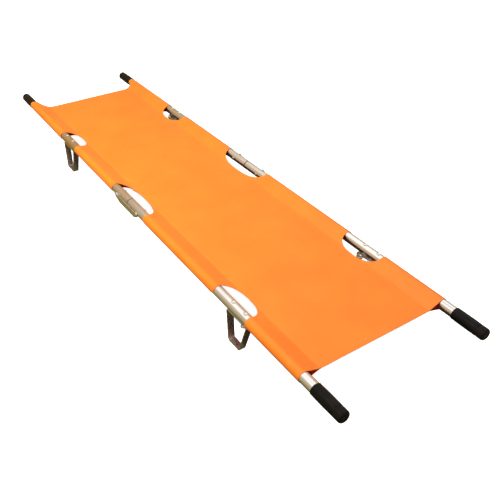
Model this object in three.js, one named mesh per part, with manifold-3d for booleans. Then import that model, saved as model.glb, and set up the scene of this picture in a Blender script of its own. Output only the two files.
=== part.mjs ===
// Folding stretcher: two aluminium poles, each hinged in the middle, with a fabric bed sleeved onto them,
// four loop feet of bent steel strip and two folding cross-bars. Millimetres, +Z up, +X towards the front.
// The origin is on the ground under the middle of the bed. The right pole is at -Y, the left pole at +Y.
import * as THREE from "three";
import { mergeVertices } from "three/addons/utils/BufferGeometryUtils.js";
import Module from "manifold-3d";

const wasm = await Module();
wasm.setup();

// Driving dimensions
const LENGTH = 2200; // over the grips
const POLE_SPACING = 472; // between the axes of the two poles
const AXIS_HEIGHT = 132; // of the poles' axes above the ground
const GAP = 0.3; // between pieces that touch

const TUBE_RADIUS = 16;
const TUBE_WALL = 2;
const SPLIT = 4; // between the two tubes of a pole at the hinge

const GRIP_RADIUS = 18;
const GRIP_LENGTH = 105;
const GRIP_END_WALL = 8;

const HINGE_PIN_X = 76; // each side of the middle
const HINGE_PIN_RADIUS = 4;
const HINGE_PIN_HEAD_RADIUS = 6.5;
const HINGE_PIN_HEAD = 2.5;
const ANGLE_WALL = 3;
const ANGLE_CLEARANCE = 1; // beside and under the tubes
const ANGLE_EAR_RADIUS = 10;
const ANGLE_FLOOR_HALF = 58; // the floor stops short of the tubes when they hang down
const ANGLE_WALL_TOP = 3; // above the axis, between the ears

const STRIP_WIDTH = 22; // of the steel strip the feet are bent from
const STRIP_THICKNESS = 3;
const FOOT_TOP_LENGTH = 100;
const FOOT_LEAN = { front: [4, -40], rear: [-10, -48] }; // of the lower ends of the rear and the front leg
const FOOT_TOP_BEND = 8;
const FOOT_BOTTOM_BEND = 9;
const FOOT_X = { front: 620, rear: -604 }; // rear edge of each foot, staggered so that folded feet pass

const RIVET_RADIUS = 3;
const RIVET_HEAD_RADIUS = 6.2;
const RIVET_HEAD = 2.6;
const RIVET_INSET = [22, 80]; // along the foot from its rear edge

const LINK_PIVOT_OFFSET = 58; // along the foot from its rear edge
const LINK_PIVOT_INSET = 8; // inboard of the pole axis
const LINK_DEPTH = 46; // of the cross-bar's upper face below the pole axis
const LINK_WIDTH = 18;
const LINK_THICKNESS = 4;
const BRACKET_THICKNESS = 3;
const BRACKET_LENGTH = 74;
const STRAP_BOLT_OFFSET = 26; // along the foot from its rear edge
const STRAP_BOLT_INSET = 18.5; // clear of the foot's strip
const STRAP_EAR_RADIUS = 8;
const PIN_RADIUS = 3;
const PIN_HEAD_RADIUS = 6;
const PIN_HEAD = 3;
const CAP_NUT_RADIUS = 5.6;
const CAP_NUT = 8;
const WASHER_RADIUS = 7;
const WASHER = 1.4;
const HOLE_CLEARANCE = 0.3;

const FABRIC = 1;
const SEAM = 48; // from the pole axis to the seam that closes the sleeve
const CUTOUT_DEPTH = 50; // of the half-moon openings, from the pole axis
const CUTOUT_POWER = 2.4; // 2 would be an ellipse
const CUTOUTS = { rear: [-616, -470], middle: [-120, 122], front: [562, 720] };
const SHEET_ENDS = { rear: -929, front: 951 };
const REAR_SLEEVE_END = -985;

const ROUND = 32; // sides of a tube
const SMALL_ROUND = 16; // sides of a pin or a rivet

// Values that follow from them
const POLE_Y = { right: -POLE_SPACING / 2, left: POLE_SPACING / 2 };
const INBOARD = { right: 1, left: -1 };
const OUTWARD = { front: 1, rear: -1 };
const LINK_LENGTH = POLE_SPACING / 2 - LINK_PIVOT_INSET;
const STRIP_TOP = -TUBE_RADIUS - GAP;
const BRACKET_TOP = STRIP_TOP - STRIP_THICKNESS - GAP;
const BRACKET_BOTTOM = BRACKET_TOP - BRACKET_THICKNESS;
const LINK_TOP = { right: -LINK_DEPTH, left: -LINK_DEPTH - LINK_THICKNESS - GAP };
const ANGLE_INNER = TUBE_RADIUS + ANGLE_CLEARANCE;
const ANGLE_OUTER = ANGLE_INNER + ANGLE_WALL;
const HINGE_PIN_HOLE = HINGE_PIN_RADIUS + HOLE_CLEARANCE;
const RIVET_HOLE = RIVET_RADIUS + HOLE_CLEARANCE;
const PIN_HOLE = PIN_RADIUS + HOLE_CLEARANCE;
const rivetX = (end) => RIVET_INSET.map((inset) => FOOT_X[end] + inset);
const rivetsMiddle = (end) => FOOT_X[end] + (RIVET_INSET[0] + RIVET_INSET[1]) / 2;
const pivotX = (end) => FOOT_X[end] + LINK_PIVOT_OFFSET;
const strapBoltX = (end) => FOOT_X[end] + STRAP_BOLT_OFFSET;

const materials = {
  aluminium: new THREE.MeshStandardMaterial({ color: 0xd8d3cb, roughness: 0.32, metalness: 1 }),
  steel: new THREE.MeshStandardMaterial({ color: 0xa8a49c, roughness: 0.3, metalness: 1 }),
  grip: new THREE.MeshStandardMaterial({ color: 0x1d1c1b, roughness: 0.75, metalness: 0 }),
  fabric: new THREE.MeshStandardMaterial({ color: 0xff8a26, roughness: 0.6, metalness: 0 }),
};

// A closed three.js geometry as a solid that can be joined and cut.
function solid(geometry) {
  const bare = geometry.clone();
  bare.deleteAttribute("normal");
  bare.deleteAttribute("uv");
  const merged = mergeVertices(bare, 1e-4);
  const vertProperties = merged.attributes.position.array;
  const triVerts = new Uint32Array(merged.index.array);
  return new wasm.Manifold(new wasm.Mesh({ numProp: 3, vertProperties, triVerts }));
}

function geometryOf(shape) {
  const mesh = shape.getMesh();
  return new THREE.BufferGeometry()
    .setAttribute("position", new THREE.BufferAttribute(mesh.vertProperties, 3))
    .setIndex(new THREE.BufferAttribute(mesh.triVerts, 1));
}

// A solid with each of the given geometries cut out of it.
function drilled(body, holes) {
  return holes.reduce((made, hole) => made.subtract(solid(hole)), body);
}

// A body turned about X. Its profile is [x, radius] points, and the material lies on the right of its path.
function turned(profile, sides) {
  const points = profile.map(([x, radius]) => new THREE.Vector2(radius, x));
  return new THREE.LatheGeometry(points, sides).rotateZ(-Math.PI / 2);
}

function tubeAlongX(from, to, outer, inner, sides) {
  const profile = [
    [from, inner],
    [from, outer],
    [to, outer],
    [to, inner],
    [from, inner],
  ];
  return turned(profile, sides);
}

// A round rod along the y or z axis, from one place on that axis to another.
function rod(axis, radius, from, to) {
  const geometry = new THREE.CylinderGeometry(radius, radius, to - from, SMALL_ROUND);
  geometry.translate(0, (from + to) / 2, 0);
  return axis === "z" ? geometry.rotateX(Math.PI / 2) : geometry;
}

// A headed pin turned about Z. Each step is [z, radius], from the bottom up.
function headedPin(steps) {
  const points = steps.map(([z, radius]) => new THREE.Vector2(radius, z));
  return new THREE.LatheGeometry(points, SMALL_ROUND).rotateX(Math.PI / 2);
}

// An outline in X and Z drawn out along Y, centred on y = 0.
function plateXZ(shape, width) {
  return new THREE.ExtrudeGeometry(shape, { depth: width, bevelEnabled: false })
    .rotateX(Math.PI / 2)
    .translate(0, width / 2, 0);
}

// An outline in X and Y drawn up along Z.
function plateXY(shape, bottom, top) {
  const drawn = new THREE.ExtrudeGeometry(shape, { depth: top - bottom, bevelEnabled: false });
  return drawn.translate(0, 0, bottom);
}

function arc(cx, cy, radius, from, to, steps) {
  return Array.from({ length: steps + 1 }, (_, i) => {
    const angle = from + ((to - from) * i) / steps;
    return new THREE.Vector2(cx + radius * Math.cos(angle), cy + radius * Math.sin(angle));
  });
}

// The corners of a convex outline, moved in by a distance. The corners run counter-clockwise.
function inset(corners, distance) {
  return corners.map((corner, i) => {
    const before = corners.at(i - 1);
    const after = corners[(i + 1) % corners.length];
    const u = corner.clone().sub(before).normalize();
    const v = after.clone().sub(corner).normalize();
    const sine = u.cross(v);
    return corner.clone().addScaledVector(v.clone().sub(u), distance / sine);
  });
}

// The same outline with its corners rounded.
function rounded(corners, radii, steps = 4) {
  return corners.flatMap((corner, i) => {
    const u = corner.clone().sub(corners.at(i - 1)).normalize();
    const v = corners[(i + 1) % corners.length].clone().sub(corner).normalize();
    const centre = corner.clone().addScaledVector(v.clone().sub(u), radii[i] / u.cross(v));
    const start = Math.atan2(-u.x, u.y);
    const turn = Math.atan2(u.cross(v), u.dot(v));
    return arc(centre.x, centre.y, radii[i], start, start + turn, steps);
  });
}

// Half of a pole: a tube with holes for its hinge pin and its two foot rivets.
function poleTube(end) {
  const side = OUTWARD[end];
  const outerEnd = LENGTH / 2 - GRIP_END_WALL - GAP;
  const tube = tubeAlongX(SPLIT / 2, outerEnd, TUBE_RADIUS, TUBE_RADIUS - TUBE_WALL, ROUND);
  if (side < 0) tube.rotateZ(Math.PI);
  const reach = TUBE_RADIUS + 1;
  const pinHole = rod("y", HINGE_PIN_HOLE, -reach, reach).translate(side * HINGE_PIN_X, 0, 0);
  const rivetHoles = rivetX(end).map((x) => rod("z", RIVET_HOLE, -reach, reach).translate(x, 0, 0));
  return geometryOf(drilled(solid(tube), [pinHole, ...rivetHoles]));
}

// A rubber grip, closed at its outer end, pushed over the end of a tube.
function grip(end) {
  const inner = LENGTH / 2 - GRIP_LENGTH;
  const outer = LENGTH / 2;
  const bend = GRIP_RADIUS / 3;
  const bore = TUBE_RADIUS + GAP;
  const corner = arc(outer - bend, GRIP_RADIUS - bend, bend, Math.PI / 2, 0, 4).map(({ x, y }) => [x, y]);
  const profile = [
    [outer - GRIP_END_WALL, 0],
    [outer - GRIP_END_WALL, bore],
    [inner, bore],
    [inner, GRIP_RADIUS - 1],
    [inner + 1, GRIP_RADIUS],
    ...corner,
    [outer, 0],
  ];
  const geometry = turned(profile, ROUND);
  return OUTWARD[end] < 0 ? geometry.rotateZ(Math.PI) : geometry;
}

// A foot: a closed loop of steel strip, narrower at the ground.
function foot(end) {
  const x = FOOT_X[end];
  const [rearLean, frontLean] = FOOT_LEAN[end];
  const corners = [
    [x + rearLean, -AXIS_HEIGHT],
    [x + FOOT_TOP_LENGTH + frontLean, -AXIS_HEIGHT],
    [x + FOOT_TOP_LENGTH, STRIP_TOP],
    [x, STRIP_TOP],
  ].map(([px, pz]) => new THREE.Vector2(px, pz));
  const bends = [FOOT_BOTTOM_BEND, FOOT_BOTTOM_BEND, FOOT_TOP_BEND, FOOT_TOP_BEND];
  const outline = new THREE.Shape(rounded(corners, bends));
  const innerBends = bends.map((bend) => bend - STRIP_THICKNESS);
  outline.holes.push(new THREE.Path(rounded(inset(corners, STRIP_THICKNESS), innerBends)));
  const holes = rivetX(end).map((hx) => rod("z", RIVET_HOLE, BRACKET_TOP, TUBE_RADIUS).translate(hx, 0, 0));
  return geometryOf(drilled(solid(plateXZ(outline, STRIP_WIDTH)), holes));
}

// A steel plate riveted under the foot's strip. One of its ears holds the cross-bar's pivot stud, and the
// other a bolt for a strap.
function bracket(side, end) {
  const centre = rivetsMiddle(end);
  const half = BRACKET_LENGTH / 2;
  const width = STRIP_WIDTH / 2 - 1;
  const ear = (x, inset, radius) => {
    const start = Math.asin(Math.max((width - inset) / radius, -0.8));
    return arc(x - centre, inset, radius, start, Math.PI - start, 8);
  };
  const outline = [
    new THREE.Vector2(-half, -width),
    new THREE.Vector2(half, -width),
    new THREE.Vector2(half, width),
    ...ear(pivotX(end), LINK_PIVOT_INSET, LINK_WIDTH / 2),
    ...ear(strapBoltX(end), STRAP_BOLT_INSET, STRAP_EAR_RADIUS),
    new THREE.Vector2(-half, width),
  ];
  const plate = plateXY(new THREE.Shape(outline), BRACKET_BOTTOM, BRACKET_TOP).translate(centre, 0, 0);
  const hole = (radius, x, y) => rod("z", radius, 2 * BRACKET_BOTTOM, 0).translate(x, y, 0);
  const holes = [
    hole(PIN_HOLE, pivotX(end), LINK_PIVOT_INSET),
    hole(PIN_HOLE, strapBoltX(end), STRAP_BOLT_INSET),
    ...rivetX(end).map((x) => hole(RIVET_HOLE, x, 0)),
  ];
  return forSide(side, geometryOf(drilled(solid(plate), holes)));
}

// A piece drawn for the right pole, as it is there or mirrored for the left pole.
function forSide(side, geometry) {
  if (side === "right") return geometry;
  const corners = Uint32Array.from(geometry.index.array);
  for (let i = 0; i < corners.length; i += 3) {
    [corners[i + 1], corners[i + 2]] = [corners[i + 2], corners[i + 1]];
  }
  return geometry.scale(1, -1, 1).setIndex(new THREE.BufferAttribute(corners, 1));
}

// A domed rivet from the top of the tube through the foot's strip and the bracket.
function footRivet() {
  const bottom = BRACKET_BOTTOM - GAP;
  const top = TUBE_RADIUS + GAP;
  return headedPin([
    [bottom - RIVET_HEAD, 0],
    [bottom - RIVET_HEAD, RIVET_HEAD_RADIUS * 0.6],
    [bottom, RIVET_HEAD_RADIUS - 1],
    [bottom, RIVET_RADIUS],
    [top, RIVET_RADIUS],
    [top, RIVET_HEAD_RADIUS],
    [top + RIVET_HEAD * 0.65, RIVET_HEAD_RADIUS * 0.75],
    [top + RIVET_HEAD, RIVET_HEAD_RADIUS * 0.3],
    [top + RIVET_HEAD, 0],
  ]);
}

// A stud from a bracket down through the end of a cross-bar, with a spacer above the bar and a nut below.
function pivotStud(linkTop) {
  const nutTop = linkTop - LINK_THICKNESS - GAP;
  return headedPin([
    [nutTop - PIN_HEAD, 0],
    [nutTop - PIN_HEAD, PIN_HEAD_RADIUS],
    [nutTop, PIN_HEAD_RADIUS],
    [nutTop, PIN_RADIUS],
    [linkTop + GAP, PIN_RADIUS],
    [linkTop + GAP, PIN_HEAD_RADIUS],
    [BRACKET_BOTTOM - GAP, PIN_HEAD_RADIUS],
    [BRACKET_BOTTOM - GAP, PIN_RADIUS],
    [BRACKET_TOP, PIN_RADIUS],
    [BRACKET_TOP, 0],
  ]);
}

// The pin that joins both halves of a cross-bar in the middle of the bed.
function middlePin() {
  const headBottom = LINK_TOP.right + GAP;
  const nutTop = LINK_TOP.left - LINK_THICKNESS - GAP;
  return headedPin([
    [nutTop - PIN_HEAD, 0],
    [nutTop - PIN_HEAD, PIN_HEAD_RADIUS],
    [nutTop, PIN_HEAD_RADIUS],
    [nutTop, PIN_RADIUS],
    [headBottom, PIN_RADIUS],
    [headBottom, PIN_HEAD_RADIUS],
    [headBottom + PIN_HEAD, PIN_HEAD_RADIUS - 1],
    [headBottom + PIN_HEAD, 0],
  ]);
}

// The strap's bolt in its ear of the bracket: a flat head below, a washer and a cap nut above.
function strapBolt() {
  const low = BRACKET_BOTTOM - GAP;
  const high = BRACKET_TOP + GAP;
  return headedPin([
    [low - PIN_HEAD, 0],
    [low - PIN_HEAD, CAP_NUT_RADIUS - 1],
    [low, CAP_NUT_RADIUS],
    [low, PIN_RADIUS],
    [high, PIN_RADIUS],
    [high, WASHER_RADIUS],
    [high + WASHER, WASHER_RADIUS],
    [high + WASHER, CAP_NUT_RADIUS],
    [high + CAP_NUT - 3, CAP_NUT_RADIUS],
    [high + CAP_NUT - 1, CAP_NUT_RADIUS * 0.8],
    [high + CAP_NUT, CAP_NUT_RADIUS * 0.4],
    [high + CAP_NUT, 0],
  ]);
}

// Half of a folding cross-bar, from its pivot at a pole to the middle of the bed.
function link(side, end) {
  const radius = LINK_WIDTH / 2;
  const outline = new THREE.Shape([
    ...arc(0, 0, radius, Math.PI, 2 * Math.PI, 8),
    ...arc(0, LINK_LENGTH, radius, 0, Math.PI, 8),
  ]);
  const bar = plateXY(outline, LINK_TOP[side] - LINK_THICKNESS, LINK_TOP[side]);
  const holes = [0, LINK_LENGTH].map((y) => rod("z", PIN_HOLE, -2 * LINK_DEPTH, 0).translate(0, y, 0));
  const made = geometryOf(drilled(solid(bar), holes)).translate(pivotX(end), LINK_PIVOT_INSET, 0);
  return forSide(side, made);
}

// The steel angle outside and under the split in a pole, with an ear round each hinge pin.
function hingeAngle(side) {
  const low = -ANGLE_OUTER;
  const half = ANGLE_FLOOR_HALF;
  const ear = (x, from, to) => arc(x, 0, ANGLE_EAR_RADIUS, from, to, 8);
  const shoulder = Math.asin(ANGLE_WALL_TOP / ANGLE_EAR_RADIUS);
  const outline = new THREE.Shape([
    new THREE.Vector2(-half, low),
    new THREE.Vector2(half, low),
    ...ear(HINGE_PIN_X, -Math.PI / 3, Math.PI - shoulder),
    ...ear(-HINGE_PIN_X, shoulder, Math.PI * (4 / 3)),
  ]);
  const wall = plateXZ(outline, ANGLE_WALL).translate(0, -ANGLE_INNER - ANGLE_WALL / 2, 0);
  const floor = new THREE.BoxGeometry(2 * half, ANGLE_OUTER, ANGLE_WALL);
  floor.translate(0, -ANGLE_OUTER / 2, low + ANGLE_WALL / 2);
  const joined = solid(wall).add(solid(floor));
  const reach = ANGLE_OUTER + 1;
  const pinHole = rod("y", HINGE_PIN_HOLE, -reach, reach);
  const holes = [-HINGE_PIN_X, HINGE_PIN_X].map((x) => pinHole.clone().translate(x, 0, 0));
  return forSide(side, geometryOf(drilled(joined, holes)));
}

// A hinge pin: one head lies on the angle's wall, outside, and the other beside the tube.
function hingePin(side) {
  const outer = ANGLE_OUTER + GAP;
  const inner = TUBE_RADIUS + GAP;
  const profile = [
    [-outer - HINGE_PIN_HEAD, 0],
    [-outer - HINGE_PIN_HEAD, HINGE_PIN_HEAD_RADIUS - 1],
    [-outer, HINGE_PIN_HEAD_RADIUS],
    [-outer, HINGE_PIN_RADIUS],
    [inner, HINGE_PIN_RADIUS],
    [inner, HINGE_PIN_HEAD_RADIUS],
    [inner + HINGE_PIN_HEAD, HINGE_PIN_HEAD_RADIUS - 1],
    [inner + HINGE_PIN_HEAD, 0],
  ];
  // the profile runs up z, and the turn brings its lower end to the outer side of the pole
  return headedPin(profile).rotateX((-Math.PI / 2) * INBOARD[side]);
}

// The edge of a half-moon opening, as points from one end to the other, over the pole axis at y = 0.
function cutoutEdge([from, to], steps = 16) {
  const centre = (from + to) / 2;
  const half = (to - from) / 2;
  return Array.from({ length: steps + 1 }, (_, i) => {
    const angle = Math.PI - (Math.PI * i) / steps;
    const c = Math.cos(angle);
    const s = Math.sin(angle);
    const power = 2 / CUTOUT_POWER;
    const x = centre + half * Math.sign(c) * Math.abs(c) ** power;
    return new THREE.Vector2(x, CUTOUT_DEPTH * Math.max(s, 0) ** power);
  });
}

function cutoutSolid(range) {
  const outside = -2 * TUBE_RADIUS;
  const edge = cutoutEdge(range);
  const [first, last] = range.map((x) => new THREE.Vector2(x, outside));
  const outline = [first, ...edge, last].reverse();
  return solid(plateXY(new THREE.Shape(outline), outside, -outside));
}

// Where a sleeve stops at its seam, beside an opening: just short of the opening's deepest point.
const besideCutout = ([from, to], direction) => (from + to) / 2 + direction * 2;

// A sleeve of doubled fabric round a pole, drawn in to the seam. The seam is at y = SEAM.
function sleeve(side, from, to, cuts) {
  const section = (radius, tip, edge) => {
    const tangent = Math.acos(radius / tip);
    const round = arc(0, 0, radius, tangent, 2 * Math.PI - tangent, 20);
    const square = [new THREE.Vector2(SEAM, -edge), new THREE.Vector2(SEAM, edge)];
    return [...round, ...(edge > 0 ? square : [new THREE.Vector2(tip, 0)])];
  };
  const inner = TUBE_RADIUS + GAP;
  const lean = Math.asin(inner / SEAM);
  const outline = new THREE.Shape(section(inner + FABRIC, SEAM + FABRIC, FABRIC / 2));
  outline.holes.push(new THREE.Path(section(inner, SEAM - FABRIC / Math.sin(lean), 0)));
  const drawn = new THREE.ExtrudeGeometry(outline, { depth: to - from, bevelEnabled: false });
  // the section's x becomes y, its y becomes z, and the drawing direction becomes x
  const basis = [new THREE.Vector3(0, 1, 0), new THREE.Vector3(0, 0, 1), new THREE.Vector3(1, 0, 0)];
  drawn.applyMatrix4(new THREE.Matrix4().makeBasis(...basis)).translate(from, 0, 0);
  return forSide(side, geometryOf(cuts.reduce((rest, cut) => rest.subtract(cut), solid(drawn))));
}

// At its rear end the bed curves back from the end of each sleeve to the sheet's hem.
function rearEndCut() {
  const radius = SHEET_ENDS.rear - REAR_SLEEVE_END;
  const centreY = TUBE_RADIUS + FABRIC + radius;
  const reach = SEAM + 2;
  const outside = REAR_SLEEVE_END - 5;
  const outline = new THREE.Shape([
    new THREE.Vector2(outside, centreY - radius),
    ...arc(REAR_SLEEVE_END, centreY, radius, -Math.PI / 2, Math.asin((reach - centreY) / radius), 6),
    new THREE.Vector2(outside, reach),
  ]);
  return solid(plateXY(outline, -reach, reach));
}

const stretcher = new THREE.Group();
stretcher.name = "folding_stretcher";

function place(parent, name, geometry, material, position = [0, 0, 0]) {
  const mesh = new THREE.Mesh(geometry, material);
  mesh.name = name;
  mesh.position.set(...position);
  parent.add(mesh);
}

const moons = {
  rear: cutoutSolid(CUTOUTS.rear),
  middle: cutoutSolid(CUTOUTS.middle),
  front: cutoutSolid(CUTOUTS.front),
};

for (const side of ["right", "left"]) {
  const pole = new THREE.Group();
  pole.position.set(0, POLE_Y[side], AXIS_HEIGHT);
  stretcher.add(pole);

  for (const end of ["front", "rear"]) {
    const at = `${side}_${end}`;
    place(pole, `tube_${at}`, poleTube(end), materials.aluminium);
    place(pole, `grip_${at}`, grip(end), materials.grip);
    place(pole, `foot_${at}`, foot(end), materials.steel);
    place(pole, `bracket_${at}`, bracket(side, end), materials.steel);
    rivetX(end).forEach((x, i) => {
      place(pole, `foot_rivet_${at}_${i + 1}`, footRivet(), materials.steel, [x, 0, 0]);
    });
    const pivotAt = [pivotX(end), INBOARD[side] * LINK_PIVOT_INSET, 0];
    place(pole, `link_bolt_${at}`, pivotStud(LINK_TOP[side]), materials.steel, pivotAt);
    const strapAt = [strapBoltX(end), INBOARD[side] * STRAP_BOLT_INSET, 0];
    place(pole, `strap_bolt_${at}`, strapBolt(), materials.steel, strapAt);
    place(pole, `link_${at}`, link(side, end), materials.steel);
    place(pole, `hinge_pin_${at}`, hingePin(side), materials.steel, [OUTWARD[end] * HINGE_PIN_X, 0, 0]);
  }
  place(pole, `hinge_angle_${side}`, hingeAngle(side), materials.steel);

  const foldAt = HINGE_PIN_X + GAP;
  const sleeves = {
    front_end: [besideCutout(CUTOUTS.front, 1), SHEET_ENDS.front, [moons.front]],
    front_mid: [foldAt, besideCutout(CUTOUTS.front, -1), [moons.front, moons.middle]],
    rear_mid: [besideCutout(CUTOUTS.rear, 1), -foldAt, [moons.rear, moons.middle]],
    rear_end: [REAR_SLEEVE_END, besideCutout(CUTOUTS.rear, -1), [moons.rear, rearEndCut()]],
  };
  for (const [name, [from, to, cuts]] of Object.entries(sleeves)) {
    place(pole, `sleeve_${side}_${name}`, sleeve(side, from, to, cuts), materials.fabric);
  }
}

for (const end of ["front", "rear"]) {
  place(stretcher, `link_pin_${end}`, middlePin(), materials.steel, [pivotX(end), 0, AXIS_HEIGHT]);
}

// The sheet between the seams, in three panels that meet at the fold lines over the hinge pins.
const sheetWidth = POLE_SPACING - 2 * SEAM - 2 * GAP;
const panels = {
  rear: [SHEET_ENDS.rear, -HINGE_PIN_X - GAP],
  middle: [-HINGE_PIN_X + GAP, HINGE_PIN_X - GAP],
  front: [HINGE_PIN_X + GAP, SHEET_ENDS.front],
};
for (const [name, [from, to]] of Object.entries(panels)) {
  const panel = new THREE.BoxGeometry(to - from, sheetWidth, FABRIC);
  place(stretcher, `sheet_${name}`, panel, materials.fabric, [(from + to) / 2, 0, AXIS_HEIGHT]);
}

export default stretcher;
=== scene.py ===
import math

import bmesh
import bpy
from mathutils import Matrix, Vector, noise


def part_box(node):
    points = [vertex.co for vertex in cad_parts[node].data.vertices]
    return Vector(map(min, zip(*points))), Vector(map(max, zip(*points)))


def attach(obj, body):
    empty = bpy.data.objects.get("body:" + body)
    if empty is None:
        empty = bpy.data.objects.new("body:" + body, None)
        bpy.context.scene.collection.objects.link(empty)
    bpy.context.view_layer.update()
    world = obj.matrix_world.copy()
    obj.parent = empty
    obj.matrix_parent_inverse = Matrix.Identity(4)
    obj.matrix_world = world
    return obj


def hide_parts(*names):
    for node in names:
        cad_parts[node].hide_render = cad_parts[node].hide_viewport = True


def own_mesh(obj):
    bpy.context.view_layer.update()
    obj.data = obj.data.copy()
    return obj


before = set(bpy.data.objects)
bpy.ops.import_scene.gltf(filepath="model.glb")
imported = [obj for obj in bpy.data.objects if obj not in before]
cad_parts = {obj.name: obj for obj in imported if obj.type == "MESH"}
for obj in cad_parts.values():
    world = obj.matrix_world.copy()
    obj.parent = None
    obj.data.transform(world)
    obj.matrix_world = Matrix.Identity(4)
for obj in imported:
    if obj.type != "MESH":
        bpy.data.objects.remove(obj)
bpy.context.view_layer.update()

SIDES = ("right", "left")
ENDS = ("front", "rear")
INBOARD = {"right": 1, "left": -1}
OUTWARD = {"front": 1, "rear": -1}


def middle(node):
    low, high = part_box(node)
    return (low + high) / 2


# Read from the frame
POLE_Y = {side: middle(f"tube_{side}_front").y for side in SIDES}
AXIS_Z = middle("tube_right_front").z
TUBE_RADIUS = (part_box("tube_right_front")[1].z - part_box("tube_right_front")[0].z) / 2
GRIP_RADIUS = (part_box("grip_right_front")[1].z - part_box("grip_right_front")[0].z) / 2
FOLD_X = middle("hinge_pin_right_front").x
HEM = {"front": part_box("sheet_front")[1].x, "rear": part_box("sheet_rear")[0].x}
EAR_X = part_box("sleeve_right_rear_end")[0].x
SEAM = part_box("sleeve_right_front_end")[1].y - POLE_Y["right"]
HALF_SPACING = (POLE_Y["left"] - POLE_Y["right"]) / 2

# The cloth
CLOTH = 0.001
CLOTH_RADIUS = TUBE_RADIUS + 0.0003 + CLOTH / 2  # of the middle of the cloth round a pole
SHEET_EDGE = 0.060  # where a sleeve's piece meets the sheet's, inboard of the pole axis
TUCK = 0.056  # how far the sleeve's lower layer runs under the sheet past the seam
CUTOUTS = {"rear": (-0.616, -0.470), "middle": (-0.120, 0.122), "front": (0.562, 0.720)}
CUTOUT_DEPTH = 0.050
CUTOUT_POWER = 2.4
UNDER_CUT = 0.014  # how much further the lower layer is cut away at each end of an opening
UNDER_CUTS = {("right", "front"): 0.034}
UNDER_FADE = 0.012  # over which that eases off towards the seam
SEAM_SOFTNESS = 0.0006
SHEET_STEP = 0.008
HEM_FOLD = ((0.0, 0.0004), (0.0, 0.0009), (0.0004, 0.0013), (0.006, 0.0013), (0.014, 0.0013))
STITCH = 0.0030
STITCH_PITCH = 0.0042
THREAD_RADIUS = 0.00035
SEAM_ROWS = (0.0512, 0.0565)  # inboard of the pole axis
SEAM_MARGINS = (0.001, 0.014)  # between a run's ends and its rows along the seam
HEM_ROWS = (0.009, 0.012)  # in from the hem
HEM_ROW_START = 0.026  # inboard of the pole axis
OPENING_ROW = 0.004  # outside an opening's edge
ROW_SAMPLES = 600


def link_to_scene(name, mesh):
    piece = bpy.data.objects.new(name, mesh)
    bpy.context.scene.collection.objects.link(piece)
    return piece


def mesh_piece(name, vertices, faces, material=None, smooth=True):
    mesh = bpy.data.meshes.new(name)
    mesh.from_pydata([tuple(v) for v in vertices], [], faces)
    mesh.validate()
    mesh.update()
    if smooth:
        mesh.polygons.foreach_set("use_smooth", [True] * len(mesh.polygons))
    if material:
        mesh.materials.append(material)
    return link_to_scene(name, mesh)


# ---------------------------------------------------------------- materials


class Nodes:
    """A material's node tree, with short calls to add and join nodes."""

    def __init__(self, name):
        self.material = bpy.data.materials.new(name)
        self.material.use_nodes = True
        self.tree = self.material.node_tree
        self.shader = self.tree.nodes["Principled BSDF"]
        self.coordinates = self.add("ShaderNodeTexCoord").outputs["Object"]

    def add(self, kind, inputs=None, **settings):
        node = self.tree.nodes.new(kind)
        for key, value in settings.items():
            setattr(node, key, value)
        for key, value in (inputs or {}).items():
            if isinstance(value, bpy.types.NodeSocket):
                self.tree.links.new(value, node.inputs[key])
            else:
                node.inputs[key].default_value = value
        return node

    def set(self, **values):
        for key, value in values.items():
            self.shader.inputs[key.replace("_", " ")].default_value = value

    def feed(self, socket, value):
        self.tree.links.new(value, self.shader.inputs[socket])

    def scaled(self, x, y, z):
        mapping = self.add("ShaderNodeMapping", {"Vector": self.coordinates, "Scale": (x, y, z)})
        return mapping.outputs["Vector"]

    def noise(self, scale, detail=3.0, vector=None, roughness=0.55):
        inputs = {"Vector": vector or self.coordinates, "Scale": scale}
        inputs |= {"Detail": detail, "Roughness": roughness}
        return self.add("ShaderNodeTexNoise", inputs).outputs["Fac"]

    def spread(self, value, low, high, start=0.3, end=0.7):
        inputs = {"Value": value, "From Min": start, "From Max": end, "To Min": low, "To Max": high}
        return self.add("ShaderNodeMapRange", inputs).outputs["Result"]

    def mixed(self, factor, a, b, blend="MIX"):
        node = self.add("ShaderNodeMix", data_type="RGBA", blend_type=blend)
        for index, value in ((0, factor), (6, a), (7, b)):
            if isinstance(value, bpy.types.NodeSocket):
                self.tree.links.new(value, node.inputs[index])
            elif index == 0:
                node.inputs[index].default_value = value
            else:
                node.inputs[index].default_value = (*value, 1.0)
        return node.outputs[2]

    def bump(self, height, distance, strength=1.0, after=None):
        inputs = {"Height": height, "Distance": distance, "Strength": strength}
        if after is not None:
            inputs["Normal"] = after
        return self.add("ShaderNodeBump", inputs).outputs["Normal"]

    def sum(self, a, b, operation="ADD"):
        return self.add("ShaderNodeMath", {0: a, 1: b}, operation=operation).outputs[0]


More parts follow.
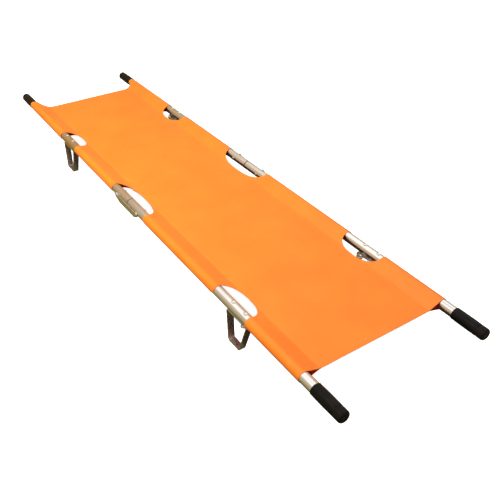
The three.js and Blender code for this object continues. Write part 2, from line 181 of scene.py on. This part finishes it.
def cloth_material(name, colour, shade):
    """Coated plain-weave cloth: a fine weave, faint mottling, lighter scuffs and soft waves."""
    n = Nodes(name)
    mottle = n.spread(n.noise(9.0, 4.0), 0.0, 1.0)
    base = n.mixed(mottle, shade, colour)
    warp = n.add("ShaderNodeTexWave", {"Vector": n.coordinates, "Scale": 380.0}, bands_direction="X")
    weft = n.add("ShaderNodeTexWave", {"Vector": n.coordinates, "Scale": 380.0}, bands_direction="Y")
    weave = n.sum(warp.outputs["Fac"], weft.outputs["Fac"], "MULTIPLY")
    threads = n.mixed(n.spread(weave, 0.0, 0.10, 0.0, 1.0), base, shade)
    scuffs = n.noise(1.0, 6.0, n.scaled(22.0, 55.0, 22.0), 0.65)
    lighter = [min(1.0, c * 1.1 + 0.05) for c in colour]
    n.feed("Base Color", n.mixed(n.spread(scuffs, 0.0, 0.6, 0.66, 0.74), threads, lighter))
    n.feed("Roughness", n.spread(n.noise(60.0, 5.0), 0.40, 0.50))
    soft = n.bump(n.noise(14.0, 2.0), 0.0016, 0.35)
    n.feed("Normal", n.bump(weave, 0.00012, 0.5, soft))
    n.set(Sheen_Weight=0.04, Sheen_Roughness=0.5, Specular_IOR_Level=0.55)
    return n.material


def thread_material(name, colour):
    """Sewing thread: a fine twist along each stitch."""
    n = Nodes(name)
    inputs = {"Vector": n.coordinates, "Scale": 600.0}
    twist = n.add("ShaderNodeTexWave", inputs, bands_direction="DIAGONAL").outputs["Fac"]
    n.feed("Base Color", n.mixed(twist, colour, [c * 0.8 for c in colour]))
    n.feed("Normal", n.bump(twist, 0.0001, 0.5))
    n.set(Roughness=0.6, Sheen_Weight=0.3)
    return n.material


def tube_material(name):
    """Drawn aluminium: fine lengthwise lines, a few long scratches and dull patches."""
    n = Nodes(name)
    lines = n.noise(1.0, 6.0, n.scaled(3.0, 900.0, 900.0), 0.7)
    scratches = n.noise(1.0, 2.0, n.scaled(9.0, 260.0, 260.0), 0.5)
    patches = n.noise(18.0, 3.0)
    n.feed("Base Color", n.mixed(n.spread(lines, 0.0, 1.0), (0.80, 0.77, 0.74), (0.93, 0.91, 0.89)))
    rough = n.sum(n.spread(lines, 0.15, 0.25), n.spread(patches, -0.02, 0.04))
    n.feed("Roughness", rough)
    fine = n.bump(lines, 0.00002, 0.4)
    n.feed("Normal", n.bump(n.spread(scratches, 0.0, 1.0, 0.62, 0.7), 0.00002, 0.4, fine))
    n.set(Metallic=1.0)
    return n.material


def steel_material(name, bright, dark, low, high):
    """Metal with cloudy patches, slight waves and a fine grain. Its roughness runs from low to high."""
    n = Nodes(name)
    clouds = n.noise(70.0, 5.0)
    n.feed("Base Color", n.mixed(n.spread(clouds, 0.0, 1.0), dark, bright))
    n.feed("Roughness", n.spread(n.noise(160.0, 4.0), low, high))
    waves = n.bump(n.noise(45.0, 1.0), 0.0006, 0.25)
    n.feed("Normal", n.bump(n.noise(900.0, 2.0), 0.00004, 0.4, waves))
    n.set(Metallic=1.0)
    return n.material


def rubber_material(name):
    """Matte moulded rubber with a fine grain and rubbed, slightly lighter patches."""
    n = Nodes(name)
    worn = n.spread(n.noise(25.0, 4.0), 0.0, 1.0, 0.45, 0.75)
    n.feed("Base Color", n.mixed(worn, (0.005, 0.0040, 0.0032), (0.013, 0.010, 0.008)))
    n.feed("Roughness", n.spread(n.noise(90.0, 4.0), 0.26, 0.36))
    grain = n.bump(n.noise(1400.0, 3.0), 0.0001, 0.6)
    n.feed("Normal", n.bump(n.noise(120.0, 3.0), 0.0003, 0.3, grain))
    n.set(Specular_IOR_Level=0.12)
    return n.material


FACE = cloth_material("cloth_face", (1.0, 0.22, 0.009), (0.97, 0.19, 0.006))
# The back is a darker red than the face: painted shade of the cloth's underside, not a colour of its own.
PAINTED_SHADE_BACK = cloth_material("cloth_back_painted_shade", (0.72, 0.020, 0.010), (0.64, 0.014, 0.008))
THREAD = thread_material("thread", (1.0, 0.30, 0.04))
TUBE = tube_material("drawn_aluminium")
STEEL = steel_material("zinc_steel", (0.92, 0.89, 0.82), (0.78, 0.75, 0.68), 0.24, 0.38)
BRIGHT = steel_material("bright_plate", (0.96, 0.94, 0.89), (0.86, 0.84, 0.79), 0.08, 0.18)
# Near-black metal for the inside of the tubes: painted shade in the bore.
PAINTED_SHADE_BORE = steel_material("tube_bore_painted_shade", (0.10, 0.09, 0.08), (0.06, 0.055, 0.05), 0.5, 0.7)
RUBBER = rubber_material("grip_rubber")

# ---------------------------------------------------------------- the cloth's shape

SLOPE = math.asin(CLOTH_RADIUS / SEAM)  # of the two layers between the pole and the seam
TANGENT = math.pi / 2 - SLOPE


def softened(u):
    """Height of the upper layer u inboard of the pole axis: a slope that eases into the flat sheet."""
    return SEAM_SOFTNESS * math.log(1 + math.exp((SEAM - u) * math.tan(SLOPE) / SEAM_SOFTNESS))


def lower_height(u):
    """Height of the lower layer: the same slope downwards, then flat against the sheet's underside."""
    nearness = min(1.0, max(0.0, u / SEAM))
    return -softened(u) - (CLOTH + 0.0002) * nearness**3


def ripple(x, y):
    """Faint unevenness of the stretched cloth, at a place in the plan."""
    broad = noise.noise(Vector((x * 3.1, y * 5.0, 0.3))) * 0.0009
    fine = noise.noise(Vector((x * 14.0, y * 22.0, 4.2))) * 0.00025
    return broad + fine


def cut_bound(cut, outwards, u, back=0.0):
    """X of a half-moon opening's edge at u inboard of the pole axis, on its side towards outwards."""
    low, high = CUTOUTS[cut]
    share = min(1.0, max(0.0, u / CUTOUT_DEPTH))
    half = (high - low) / 2 * (1 - share**CUTOUT_POWER) ** (1 / CUTOUT_POWER)
    return (low + high) / 2 + outwards * (half + back)


def rear_edge(u):
    """X of the rear hem: straight, then curving out to an ear at each sleeve."""
    radius = HEM["rear"] - EAR_X
    offset = min(radius, max(0.0, TUBE_RADIUS + CLOTH + radius - u))
    return EAR_X + math.sqrt(radius**2 - offset**2)


def hem_x(end, u):
    return HEM["front"] if end == "front" else rear_edge(u)


def cut_levels(steps):
    """Distances from the pole axis whose points on an opening's edge are evenly spread round it."""
    angles = [math.pi / 2 * i / steps for i in range(steps + 1)]
    return [CUTOUT_DEPTH * math.sin(a) ** (2 / CUTOUT_POWER) for a in angles]


def sleeve_section():
    """The cloth's section as (u, height): from the sheet, over the pole and back under it."""
    tangent_u = CLOTH_RADIUS * math.cos(TANGENT)
    flat = [SHEET_EDGE, 0.0575, 0.055, 0.0525]  # between the sheet and the openings' depth
    levels = [u for u in reversed(cut_levels(22)) if u > tangent_u + 0.001]
    upper = [(u, softened(u) if u < SHEET_EDGE else 0.0) for u in flat + levels]
    steps = 30
    angles = [TANGENT + (2 * math.pi - 2 * TANGENT) * i / steps for i in range(steps + 1)]
    ring = [(CLOTH_RADIUS * math.cos(a), CLOTH_RADIUS * math.sin(a)) for a in angles]
    under = list(reversed(levels)) + [flat[-1], TUCK]
    return upper + ring + [(u, lower_height(u)) for u in under]


SECTION = sleeve_section()


def cloth_point(side, x, u, height):
    y = POLE_Y[side] + INBOARD[side] * u
    flatness = min(1.0, max(0.0, (u - 0.03) / 0.05))
    return Vector((x, y, AXIS_Z + height + flatness * ripple(x, y)))


def solidified(piece):
    """Gives the cloth its thickness. Its back gets a darker red, painted shade of the cloth's underside."""
    piece.data.materials.append(FACE)
    piece.data.materials.append(PAINTED_SHADE_BACK)
    thick = piece.modifiers.new("thickness", "SOLIDIFY")
    thick.thickness = CLOTH
    thick.offset = 0.0
    # An even offset throws long spikes from the folded hems when the sheet is squashed
    thick.use_even_offset = False
    thick.material_offset = 1
    thick.material_offset_rim = 0
    split = piece.modifiers.new("crisp", "EDGE_SPLIT")
    split.split_angle = math.radians(50)
    return piece


def grid_faces(rows, columns, start, turned):
    faces = []
    for i in range(rows - 1):
        for j in range(columns - 1):
            a = start + i * columns + j
            quad = (a, a + 1, a + columns + 1, a + columns)
            faces.append(tuple(reversed(quad)) if turned else quad)
    return faces


def welded(piece, distance=1e-5):
    made = bmesh.new()
    made.from_mesh(piece.data)
    bmesh.ops.remove_doubles(made, verts=made.verts, dist=distance)
    made.to_mesh(piece.data)
    made.free()
    return piece


def sleeve_runs(side, end):
    """The two runs of a half pole's sleeve. Each end gives x from u and the lower layer's share."""
    out = OUTWARD[end]
    foot_cut = UNDER_CUTS.get((side, end), UNDER_CUT)
    return [
        (
            lambda u, under=0: out * max(FOLD_X, out * cut_bound("middle", out, u, under * UNDER_CUT)),
            lambda u, under=0: cut_bound(end, -out, u, under * foot_cut),
        ),
        (
            lambda u, under=0: cut_bound(end, out, u, under * UNDER_CUT),
            lambda u, under=0: hem_x(end, u),
        ),
    ]


def lower_share(u, height):
    """How far a point of the section belongs to the lower layer, which is cut back more at the openings."""
    if height >= 0:
        return 0.0
    fade = min(1.0, max(0.0, (CUTOUT_DEPTH + UNDER_FADE / 3 - u) / UNDER_FADE))
    return fade * min(1.0, -height / CLOTH_RADIUS) if u < 0 else fade


def sleeve(side, end):
    """The cloth round half a pole: two runs, joined past the opening at the foot."""
    vertices, faces = [], []
    for from_x, to_x in sleeve_runs(side, end):
        length = abs(to_x(0) - from_x(0))
        columns = max(12, round(length / SHEET_STEP)) + 1
        start = len(vertices)
        for u, height in SECTION:
            under = lower_share(u, height)
            a, b = from_x(u, under), to_x(u, under)
            xs = [a + (b - a) * j / (columns - 1) for j in range(columns)]
            vertices += [cloth_point(side, x, u, height) for x in xs]
        faces += grid_faces(len(SECTION), columns, start, (OUTWARD[end] * INBOARD[side]) > 0)
    return solidified(welded(mesh_piece(f"sleeve_cloth_{side}_{end}", vertices, faces)))


def middle_edge(side):
    """The cloth beside the middle opening, between the fold lines: the sheet's edge and the tuck below."""
    low, high = CUTOUTS["middle"]
    centre, half = (low + high) / 2, (high - low) / 2
    columns, rows = 41, 9
    xs = [-FOLD_X + 2 * FOLD_X * j / (columns - 1) for j in range(columns)]
    shares = [(abs(x - centre) / half) ** CUTOUT_POWER for x in xs]
    edge = [CUTOUT_DEPTH * (1 - share) ** (1 / CUTOUT_POWER) for share in shares]
    vertices, faces = [], []
    for inner, height, turned in ((SHEET_EDGE, softened, False), (TUCK, lower_height, True)):
        start = len(vertices)
        for i in range(rows):
            for x, u0 in zip(xs, edge):
                u = u0 + (inner - u0) * i / (rows - 1)
                vertices.append(cloth_point(side, x, u, 0.0 if u >= SHEET_EDGE else height(u)))
        faces += grid_faces(rows, columns, start, turned != (INBOARD[side] < 0))
    return solidified(mesh_piece(f"edge_cloth_{side}_middle", vertices, faces))


def sheet_half(side, part):
    """Half of one panel of the sheet, from a sleeve's edge to the middle of the bed."""
    spans = {
        "front": (lambda u: FOLD_X, lambda u: HEM["front"]),
        "middle": (lambda u: -FOLD_X, lambda u: FOLD_X),
        "rear": (rear_edge, lambda u: -FOLD_X),
    }
    from_x, to_x = spans[part]
    length = abs(to_x(HALF_SPACING) - from_x(HALF_SPACING))
    columns = round(length / SHEET_STEP) + 1
    rows = round((HALF_SPACING - SHEET_EDGE) / SHEET_STEP) + 1
    vertices = []
    for i in range(rows):
        u = SHEET_EDGE + (HALF_SPACING - SHEET_EDGE) * i / (rows - 1)
        a, b = from_x(u), to_x(u)
        row = [cloth_point(side, a + (b - a) * j / (columns - 1), u, 0.0) for j in range(columns)]
        if part != "middle":
            out = OUTWARD[part]
            fold = [cloth_point(side, hem_x(part, u) - out * back, u, -drop) for back, drop in HEM_FOLD]
            row = row + fold if out > 0 else [*reversed(fold), *row]
        vertices += row
    count = len(vertices) // rows
    faces = grid_faces(rows, count, 0, INBOARD[side] < 0)
    return solidified(mesh_piece(f"sheet_cloth_{side}_{part}", vertices, faces))


# ---------------------------------------------------------------- stitching


# Along a stitch: the share of its length, the share of the thread's radius, and its lift in radii
STITCH_RINGS = ((0.0, 0.3, -0.5), (0.2, 0.85, 0.1), (0.5, 1.0, 0.35), (0.8, 0.85, 0.1), (1.0, 0.3, -0.5))


def spindle(start, end, vertices, faces):
    """One stitch of thread lying between two points on the cloth, thinner where it dips into it."""
    along = (end - start).normalized()
    across = along.cross(Vector((0, 0, 1))).normalized()
    above = across.cross(along)
    first = len(vertices)
    sides = 6
    for share, size, lift in STITCH_RINGS:
        centre = start.lerp(end, share) + above * THREAD_RADIUS * lift
        for k in range(sides):
            a = 2 * math.pi * k / sides
            offset = across * math.cos(a) + above * math.sin(a)
            vertices.append(centre + offset * THREAD_RADIUS * size)
    last = len(STITCH_RINGS) - 1
    for i in range(last):
        for k in range(sides):
            a = first + i * sides
            faces.append((a + k, a + (k + 1) % sides, a + sides + (k + 1) % sides, a + sides + k))
    faces.append(tuple(first + k for k in reversed(range(sides))))
    faces.append(tuple(first + last * sides + k for k in range(sides)))


def hem_stitch(end, inset, t):
    """A place on a hem's row of stitches, as (x, u). t is 0 beside the pole and 1 at the bed's middle."""
    u = HEM_ROW_START + (HALF_SPACING - HEM_ROW_START) * t
    return hem_x(end, u) - OUTWARD[end] * inset, u


def stitch_rows(side):
    """Each row of stitches on one side's cloth, as a function from 0..1 to (x, u)."""
    rows = []
    for end in ENDS:
        out = OUTWARD[end]
        for from_x, to_x in sleeve_runs(side, end):
            for u in SEAM_ROWS:
                a, b = from_x(u) + out * SEAM_MARGINS[0], to_x(u) - out * SEAM_MARGINS[1]
                rows.append(lambda t, a=a, b=b, u=u: (a + (b - a) * t, u))
        for inset in HEM_ROWS:
            rows.append(lambda t, end=end, inset=inset: hem_stitch(end, inset, t))
    for u in SEAM_ROWS:
        rows.append(lambda t, u=u: (-FOLD_X + 2 * FOLD_X * t, u))
    for low, high in CUTOUTS.values():
        centre = (low + high) / 2
        half, depth = (high - low) / 2 + OPENING_ROW, CUTOUT_DEPTH + OPENING_ROW
        power = 2 / CUTOUT_POWER

        def moon(t, centre=centre, half=half, depth=depth):
            angle = math.pi * (0.04 + 0.92 * t)
            c, s = math.cos(angle), math.sin(angle)
            return centre + half * math.copysign(abs(c) ** power, c), depth * s**power

        rows.append(moon)
    return rows


def stitching(side):
    """All the stitches of one side, gathered into one piece for each body and kind of cloth."""
    pieces = {}

    def on_cloth(x, u):
        height = softened(u) if u < SHEET_EDGE else 0.0
        return cloth_point(side, x, u, height + CLOTH / 2)

    for row in stitch_rows(side):
        places = [row(i / ROW_SAMPLES) for i in range(ROW_SAMPLES + 1)]
        samples = [on_cloth(x, u) for x, u in places]
        travelled = [0.0]
        for p, q in zip(samples, samples[1:]):
            travelled.append(travelled[-1] + (q - p).length)

        def at(distance):
            index = next(i for i, d in enumerate(travelled) if d >= distance)
            if index == 0:
                return samples[0], places[0]
            step = max(1e-9, travelled[index] - travelled[index - 1])
            share = (distance - travelled[index - 1]) / step
            return samples[index - 1].lerp(samples[index], share), places[index]

        count = int(travelled[-1] / STITCH_PITCH)
        for i in range(count):
            start, _ = at(i * STITCH_PITCH)
            end, (x, u) = at(i * STITCH_PITCH + STITCH)
            if (end - start).length < 0.5 * STITCH:
                continue
            part = "front" if x > FOLD_X else "rear"
            body = f"pole_{side}_{part}" if abs(x) > FOLD_X else f"hinge_{side}"
            key = (body, u > SHEET_EDGE)
            spindle(start, end, *pieces.setdefault(key, ([], [])))
    return pieces


# ---------------------------------------------------------------- metal and rubber


def lathe(name, profile, sides, material, centre=(0, 0, 0), axis="x"):
    """A body turned about an axis through centre. The profile is [along, radius] points in order."""
    vertices, faces = [], []
    rings = []
    for along, radius in profile:
        if radius < 1e-7:
            rings.append([len(vertices)])
            vertices.append((along, 0.0, 0.0))
            continue
        rings.append(list(range(len(vertices), len(vertices) + sides)))
        for i in range(sides):
            angle = 2 * math.pi * i / sides
            vertices.append((along, radius * math.cos(angle), radius * math.sin(angle)))
    for a, b in zip(rings, rings[1:]):
        for i in range(sides):
            k = (i + 1) % sides
            if len(a) == 1:
                faces.append((a[0], b[k], b[i]))
            elif len(b) == 1:
                faces.append((a[i], a[k], b[0]))
            else:
                faces.append((a[i], a[k], b[k], b[i]))
    turn = {
        "x": Matrix.Identity(4),
        "y": Matrix.Rotation(math.pi / 2, 4, "Z"),
        "z": Matrix.Rotation(-math.pi / 2, 4, "Y"),
    }[axis]
    place = Matrix.Translation(Vector(centre)) @ turn
    piece = mesh_piece(name, [place @ Vector(v) for v in vertices], faces, material)
    made = bmesh.new()
    made.from_mesh(piece.data)
    bmesh.ops.recalc_face_normals(made, faces=made.faces)
    made.to_mesh(piece.data)
    made.free()
    return piece


def sharpened(piece, angle):
    """Smooth faces with crisp edges where they meet at more than the angle, in degrees."""
    split = piece.modifiers.new("crisp", "EDGE_SPLIT")
    split.split_angle = math.radians(angle)
    return piece


def rounded_corner(along, radius, corner, steps, direction):
    """Profile points round a corner at (along, radius), from the cylinder to the end face or back."""
    points = []
    for i in range(steps + 1):
        a = math.pi / 2 * i / steps
        back = direction * corner * (1 - math.sin(a))
        points.append((along - back, radius - corner * (1 - math.cos(a))))
    return points


def pole_tube(side, end):
    """Half a pole's tube, open at the split in the middle and running into its grip."""
    low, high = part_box(f"tube_{side}_{end}")
    out = OUTWARD[end]
    start, stop = (low.x, high.x) if out > 0 else (high.x, low.x)
    wall = 0.002
    edge = 0.0004
    profile = [
        (start + out * 0.06, TUBE_RADIUS - wall),
        (start + out * edge, TUBE_RADIUS - wall),
        (start, TUBE_RADIUS - wall + edge),
        (start, TUBE_RADIUS - edge),
        (start + out * edge, TUBE_RADIUS),
        (start + out * 0.02, TUBE_RADIUS),
        (stop - out * edge, TUBE_RADIUS),
        (stop, TUBE_RADIUS - edge),
        (stop, TUBE_RADIUS - wall),
        (start + out * 0.06, TUBE_RADIUS - wall),
    ]
    centre = (0, POLE_Y[side], AXIS_Z)
    piece = sharpened(welded(lathe(f"pole_tube_{side}_{end}", profile, 72, TUBE, centre)), 40)
    # The inside faces get near-black metal, painted shade in the bore.
    piece.data.materials.append(PAINTED_SHADE_BORE)
    for face in piece.data.polygons:
        if math.hypot(face.center.y - centre[1], face.center.z - centre[2]) < TUBE_RADIUS - wall / 2:
            face.material_index = 1
    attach(piece, f"pole_{side}_{end}")
    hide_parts(f"tube_{side}_{end}")


def pole_grip(side, end):
    """A moulded grip: a thin lip at its mouth, a slightly bellied body, a groove and a rounded end."""
    low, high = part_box(f"grip_{side}_{end}")
    out = OUTWARD[end]
    mouth, tip = (low.x, high.x) if out > 0 else (high.x, low.x)
    bore = TUBE_RADIUS + 0.0003
    body = GRIP_RADIUS - 0.0004
    length = abs(tip - mouth)
    profile = [
        (mouth + out * 0.03, bore),
        (mouth + out * 0.0006, bore),
        (mouth, bore + 0.0004),
        (mouth, body - 0.0005),
        (mouth + out * 0.0005, body),
        (mouth + out * 0.0030, body),
        (mouth + out * 0.0040, body - 0.0004),
        (mouth + out * 0.0050, body - 0.0002),
    ]
    belly = length - 0.034
    for i in range(1, 8):
        share = i / 8
        swell = 0.0004 * math.sin(math.pi * share)
        profile.append((mouth + out * (0.005 + belly * share), body + swell))
    groove = ((0.0245, 0.0001), (0.0236, 0.0008), (0.0224, 0.0008), (0.0215, 0.0001), (0.016, 0.0))
    for back, drop in groove:
        profile.append((tip - out * back, body - drop))
    profile += rounded_corner(tip - out * 0.0002, body, 0.0065, 8, out)
    profile += [(tip, body - 0.009), (tip, 0.006)]
    profile += [(tip - out * 0.0006, radius) for radius in (0.0045, 0.0)]
    centre = (0, POLE_Y[side], AXIS_Z)
    piece = sharpened(lathe(f"rubber_grip_{side}_{end}", profile, 64, RUBBER, centre), 50)
    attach(piece, f"pole_{side}_{end}")
    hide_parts(f"grip_{side}_{end}")


def dome(radius, height, steps=7):
    """Profile points of a domed head, from its rim to its crown, as (along, radius)."""
    rim = height * 0.22
    points = [(0.0, radius * 0.97), (rim * 0.5, radius), (rim, radius * 0.97)]
    for i in range(1, steps + 1):
        a = math.pi / 2 * i / steps
        points.append((rim + (height - rim) * math.sin(a), radius * 0.97 * math.cos(a)))
    return points


def foot_rivet(side, end, index):
    """A rivet with a domed head above and a flatter upset head below."""
    node = f"foot_rivet_{side}_{end}_{index}"
    low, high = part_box(node)
    centre = (low + high) / 2
    radius = (high.x - low.x) / 2
    shank = 0.003
    top = AXIS_Z + TUBE_RADIUS + 0.0002
    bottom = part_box(f"bracket_{side}_{end}")[0].z
    head = dome(radius, high.z - top)
    tail = dome(radius * 0.8, bottom - low.z)
    profile = [(bottom - z, r) for z, r in reversed(tail)]
    profile += [(bottom, shank), (top, shank)]
    profile += [(top + z, r) for z, r in head]
    name = f"domed_rivet_{side}_{end}_{index}"
    piece = lathe(name, profile, 32, BRIGHT, (centre.x, centre.y, 0), "z")
    sharpened(piece, 45)
    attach(piece, f"pole_{side}_{end}")
    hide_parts(node)


def hinge_pin(side, end):
    """A pin with a button head outside the hinge's wall, another beside the tube, and centre marks."""
    node = f"hinge_pin_{side}_{end}"
    low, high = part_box(node)
    centre = (low + high) / 2
    radius = (high.x - low.x) / 2
    seat, shank, mark = 0.0003, 0.0039, 0.0016
    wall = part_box(f"hinge_angle_{side}")
    outside = (high.y if INBOARD[side] < 0 else -low.y) - abs(POLE_Y[side])
    inside = abs(POLE_Y[side]) + (high.y if INBOARD[side] > 0 else -low.y)
    outer_seat = max(abs(wall[0].y), abs(wall[1].y)) - abs(POLE_Y[side]) + seat
    profile = []
    for direction, start, tip in ((-1, outer_seat, outside), (1, TUBE_RADIUS + seat, inside)):
        head = [(start + z, r) for z, r in dome(radius, tip - start) if r > mark]
        head = [(start, shank), *head, (tip, mark), (tip - 0.0005, mark / 2), (tip - 0.0005, 0.0)]
        points = [(direction * INBOARD[side] * y, r) for y, r in head]
        profile = [*reversed(points)] if direction < 0 else profile + points
    place = (centre.x, POLE_Y[side], centre.z)
    piece = lathe(f"button_pin_{side}_{end}", profile, 32, BRIGHT, place, "y")
    sharpened(piece, 45)
    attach(piece, f"hinge_{side}")
    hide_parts(node)


def finish_node(name, material, bevel=0.0004):
    """A CAD node that stays: its own material, softened edges and smooth rounds."""
    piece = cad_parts[name]
    piece.data.materials.clear()
    piece.data.materials.append(material)
    if "custom_normal" in piece.data.attributes:
        piece.data.attributes.remove(piece.data.attributes["custom_normal"])
    piece.data.polygons.foreach_set("use_smooth", [True] * len(piece.data.polygons))
    weld = piece.modifiers.new("weld", "WELD")
    weld.merge_threshold = 1e-5
    soften = piece.modifiers.new("edges", "BEVEL")
    soften.width = bevel
    soften.segments = 2
    soften.limit_method = "ANGLE"
    soften.angle_limit = math.radians(40)
    soften.harden_normals = False
    normals = piece.modifiers.new("normals", "WEIGHTED_NORMAL")
    normals.keep_sharp = True


# ---------------------------------------------------------------- building

CLOTH_NODES = {
    "front": ["front_end", "front_mid"],
    "rear": ["rear_end", "rear_mid"],
}


def build_cloth():
    def gather(piece):
        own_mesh(piece)

    for side in SIDES:
        for end in ENDS:
            piece = sleeve(side, end)
            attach(piece, f"pole_{side}_{end}")
            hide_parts(*[f"sleeve_{side}_{part}" for part in CLOTH_NODES[end]])
        piece = middle_edge(side)
        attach(piece, f"hinge_{side}")
        for part in ("front", "middle", "rear"):
            piece = sheet_half(side, part)
            body = f"hinge_{side}" if part == "middle" else f"pole_{side}_{part}"
            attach(piece, body)
            gather(piece)
            if side == "right":
                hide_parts(f"sheet_{part}")
        for (body, on_sheet), (vertices, faces) in stitching(side).items():
            kind = "hem" if on_sheet else "seam"
            thread = mesh_piece(f"{kind}_stitches_{body}", vertices, faces, THREAD)
            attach(thread, body)
            if on_sheet:
                gather(thread)


def build_hardware():
    for side in SIDES:
        for end in ENDS:
            pole_tube(side, end)
            pole_grip(side, end)
            hinge_pin(side, end)
            for index in (1, 2):
                foot_rivet(side, end, index)
            finish_node(f"foot_{side}_{end}", STEEL, 0.0005)
            finish_node(f"bracket_{side}_{end}", STEEL)
            finish_node(f"link_{side}_{end}", STEEL)
            finish_node(f"link_bolt_{side}_{end}", BRIGHT)
            finish_node(f"strap_bolt_{side}_{end}", BRIGHT)
        finish_node(f"hinge_angle_{side}", STEEL)
    for end in ENDS:
        finish_node(f"link_pin_{end}", BRIGHT)


# ---------------------------------------------------------------- stage, light and camera


def aimed(back, roll=0.0):
    """A camera or lamp turned so that it looks along -back, with its roll in degrees."""
    turn = (-back).to_track_quat("-Z", "Y").to_matrix().to_4x4()
    return turn @ Matrix.Rotation(math.radians(roll), 4, "Z")


def make_camera():
    azimuth, elevation, roll = 56.367, 35.912, -0.323
    place = (1.7615, -0.9268, 1.1395 + AXIS_Z)
    a, e = math.radians(azimuth), math.radians(elevation)
    back = Vector((math.sin(a) * math.cos(e), -math.cos(a) * math.cos(e), math.sin(e)))
    data = bpy.data.cameras.new("camera")
    data.sensor_width = 36.0
    data.lens = 46.2096
    data.clip_start, data.clip_end = 0.05, 60
    camera = bpy.data.objects.new("camera", data)
    camera.matrix_world = Matrix.Translation(place) @ aimed(back, roll)
    bpy.context.scene.collection.objects.link(camera)
    bpy.context.scene.camera = camera


def area_light(name, place, target, size, power, colour):
    """A rectangular lamp, which is not itself seen in the metal."""
    data = bpy.data.lights.new(name, "AREA")
    data.shape = "RECTANGLE"
    data.size, data.size_y = size
    data.energy = power
    data.color = colour
    light = bpy.data.objects.new(name, data)
    light.matrix_world = Matrix.Translation(place) @ aimed(Vector(place) - Vector(target))
    light.visible_glossy = False
    bpy.context.scene.collection.objects.link(light)


def glow_material(name, colour, strength):
    """A matte surface, black until it is given another colour, that gives off an even light."""
    n = Nodes(name)
    n.set(Base_Color=(0, 0, 0, 1), Specular_IOR_Level=0.0, Roughness=0.9)
    n.set(Emission_Color=(*colour, 1), Emission_Strength=strength)
    n.material.cycles.emission_sampling = "NONE"
    return n


def level_card(name, half_x, half_y, z, n):
    """A level rectangle of the stage, which the camera doesn't see."""
    corners = [(-half_x, -half_y, z), (half_x, -half_y, z), (half_x, half_y, z), (-half_x, half_y, z)]
    card = mesh_piece(name, corners, [(0, 1, 2, 3)], n.material, smooth=False)
    card.visible_camera = False
    return card


def make_floor():
    """A pale floor that curves up at its far edge, a dim card that lights undersides, and a dark one."""
    reach, rise, sides, steps = 14.0, 6.0, 96, 12
    profile = [(0.0, 0.0), (0.0, reach)]
    for i in range(1, steps + 1):
        angle = math.pi / 2 * i / steps
        profile.append((rise * (1 - math.cos(angle)), reach + rise * math.sin(angle)))
    n = glow_material("pale_floor", (1, 1, 1), 0.97)
    n.feed("Base Color", n.mixed(n.noise(1.5, 2.0), (0.90, 0.90, 0.90), (0.92, 0.92, 0.92)))
    floor = lathe("floor", profile, sides, n.material, (0, 0, 0), "z")
    floor.visible_glossy = False
    floor.visible_diffuse = False
    bounce = level_card("bounce", 6.0, 6.0, -0.003, glow_material("dim_bounce", (1, 0.97, 0.92), 0.17))
    bounce.visible_glossy = False
    dark = glow_material("deep_shade", (1, 0.6, 0.42), 0.03)
    shade = level_card("shade_under_bed", 0.98, 0.225, 0.001, dark)
    shade.visible_diffuse = False
    shade.visible_shadow = False


# Of what lies towards -X: where each starts and is full, as the direction's x, and how it colours
REARWARD_TINTS = (
    (-0.68, -0.74, "DARKEN", (0.52, 0.44, 0.34)),
    (-0.78, -0.82, "MULTIPLY", (0.80, 0.55, 0.23)),
)


def make_world():
    """What the metal reflects: white above, tan at the horizon, olive below and golden to the rear."""
    world = bpy.data.worlds.new("studio")
    world.use_nodes = True
    bpy.context.scene.world = world
    nodes, links = world.node_tree.nodes, world.node_tree.links
    nodes.clear()
    place = nodes.new("ShaderNodeTexCoord")
    split = nodes.new("ShaderNodeSeparateXYZ")
    height = nodes.new("ShaderNodeMapRange")
    height.inputs["From Min"].default_value = -1.0
    ramp = nodes.new("ShaderNodeValToRGB")
    studio = nodes.new("ShaderNodeBackground")
    output = nodes.new("ShaderNodeOutputWorld")
    colours = [
        (-1.00, (0.05, 0.045, 0.022)),
        (-0.75, (0.10, 0.09, 0.04)),
        (-0.50, (0.24, 0.21, 0.08)),
        (-0.15, (0.36, 0.28, 0.17)),
        (0.10, (0.42, 0.34, 0.24)),
        (0.30, (0.48, 0.39, 0.29)),
        (0.50, (0.50, 0.41, 0.31)),
        (0.59, (0.58, 0.50, 0.40)),
        (0.66, (1.0, 0.97, 0.93)),
        (0.84, (1.0, 1.0, 1.0)),
        (0.90, (0.55, 0.55, 0.55)),
    ]
    while len(ramp.color_ramp.elements) < len(colours):
        ramp.color_ramp.elements.new(0.5)
    for element, (z, colour) in zip(ramp.color_ramp.elements, colours):
        element.position = (z + 1) / 2
        element.color = (*colour, 1)
    studio.inputs["Strength"].default_value = 1.3
    links.new(place.outputs["Generated"], split.inputs[0])
    links.new(split.outputs["Z"], height.inputs["Value"])
    links.new(height.outputs["Result"], ramp.inputs["Fac"])
    colour = ramp.outputs["Color"]
    for start, end, blend, tint in REARWARD_TINTS:
        share = nodes.new("ShaderNodeMapRange")
        share.inputs["From Min"].default_value = start
        share.inputs["From Max"].default_value = end
        tinted = nodes.new("ShaderNodeMix")
        tinted.data_type, tinted.blend_type = "RGBA", blend
        tinted.inputs[7].default_value = (*tint, 1)
        links.new(split.outputs["X"], share.inputs["Value"])
        links.new(share.outputs["Result"], tinted.inputs[0])
        links.new(colour, tinted.inputs[6])
        colour = tinted.outputs[2]
    links.new(colour, studio.inputs["Color"])
    links.new(studio.outputs[0], output.inputs["Surface"])
    world.cycles_visibility.diffuse = False


def make_lights():
    white = (0.93, 0.97, 1.0)
    area_light("key", (-0.3, -1.3, 2.2), (-0.2, 0, AXIS_Z), (1.1, 0.7), 88, white)
    area_light("overhead", (-0.2, 0.0, 3.1), (-0.2, 0, AXIS_Z), (3.0, 2.0), 30, white)
    area_light("fill", (2.4, -1.3, 1.7), (-0.3, 0, AXIS_Z), (1.2, 0.8), 16, white)


make_camera()
make_world()
make_lights()
make_floor()
build_cloth()
build_hardware()
view_settings = bpy.context.scene.view_settings
view_settings.view_transform = "Standard"
view_settings.look = "None"
